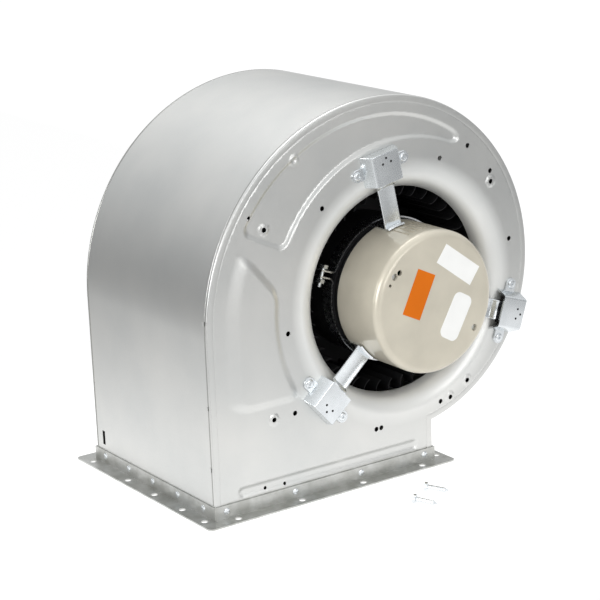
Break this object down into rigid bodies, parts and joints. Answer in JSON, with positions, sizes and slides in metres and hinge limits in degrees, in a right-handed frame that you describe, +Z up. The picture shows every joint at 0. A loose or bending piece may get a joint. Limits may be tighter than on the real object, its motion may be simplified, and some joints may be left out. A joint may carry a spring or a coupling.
{
  "type": "centrifugal blower",
  "caption": "Double-inlet centrifugal blower: a sheet-steel scroll housing on a flanged outlet, with a forward-curved wheel driven directly by a motor on three arms in its inlet.",
  "frame": {"origin": "centre of the outlet flange's four outer front and back bolt holes, on the flange's underside", "axes": "+X from the flat back of the scroll to the cut-off side, +Y from the motor side to the rear side along the shaft, +Z up, away from the outlet"},
  "size_m": [0.412, 0.3528, 0.3883],
  "materials": {
    "galvanised": "bright galvanised sheet",
    "zinc": "bright zinc plate",
    "motor_paint": "satin beige-grey paint",
    "dark_paint": "black lacquer",
    "lamination": "lacquered electrical steel",
    "magnet": "ferrite",
    "copper": "enamelled winding",
    "rubber": "matt black rubber",
    "board": "solder-resist green",
    "capacitor": "black sleeve",
    "brass": "pressed cage",
    "bearing_steel": "ground and polished steel",
    "cast_aluminium": "as cast",
    "orange_label": "plain printed film",
    "white_label": "plain printed film"
  },
  "bodies": {
    "housing": {"scroll_wrap": "galvanised", "motor_side_plate": "galvanised", "rear_side_plate": "galvanised", "cutoff_plate": "galvanised", "flange_front": "galvanised", "flange_back": "galvanised", "flange_left": "galvanised", "flange_right": "galvanised", "flange_rivets": "zinc", "seam_clinches": "galvanised", "arm_top": "zinc", "arm_lower": "zinc", "arm_right": "zinc", "bracket_top": "zinc", "bracket_lower": "zinc", "bracket_right": "zinc", "isolator_top": "rubber", "isolator_lower": "rubber", "isolator_right": "rubber", "bracket_rivets": "zinc", "clamping_band": "zinc", "band_bolt": "zinc", "band_nut": "zinc", "motor_cover": "motor_paint", "cover_screws": "zinc", "front_shield": "cast_aluminium", "rear_shell": "dark_paint", "stator_core": "lamination", "stator_coils": "copper", "control_board": "board", "board_capacitors": "capacitor", "power_module": "capacitor", "bearing_outer_rings": "bearing_steel", "label_orange": "orange_label", "label_upper": "white_label", "label_lower": "white_label", "fixing_screws": "zinc"},
    "rotor": {"bearing_inner_rings": "bearing_steel", "motor_shaft": "bearing_steel", "rotor_core": "lamination", "rotor_magnets": "magnet", "wheel_hub": "zinc", "hub_rivets": "zinc", "hub_set_screw": "dark_paint", "wheel_disc": "dark_paint", "wheel_blades": "dark_paint", "wheel_ring_front": "dark_paint", "wheel_ring_rear": "dark_paint"},
    "front_ball_cage": {"front_balls": "bearing_steel", "front_cage": "brass"},
    "rear_ball_cage": {"rear_balls": "bearing_steel", "rear_cage": "brass"}
  },
  "joints": [
    {"name": "wheel_spin", "type": "hinge", "parent": "housing", "child": "rotor", "pos_m": [0.102, 0, 0.185], "axis": [0, -1, 0], "continuous": true},
    {"name": "front_cage_spin", "type": "hinge", "parent": "housing", "child": "front_ball_cage", "pos_m": [0.102, 0, 0.185], "axis": [0, -1, 0], "continuous": true},
    {"name": "rear_cage_spin", "type": "hinge", "parent": "housing", "child": "rear_ball_cage", "pos_m": [0.102, 0, 0.185], "axis": [0, -1, 0], "continuous": true}
  ],
  "couplings": [
    {"joint": "front_cage_spin", "follows": "wheel_spin", "ratio": 0.366},
    {"joint": "rear_cage_spin", "follows": "wheel_spin", "ratio": 0.366}
  ]
}
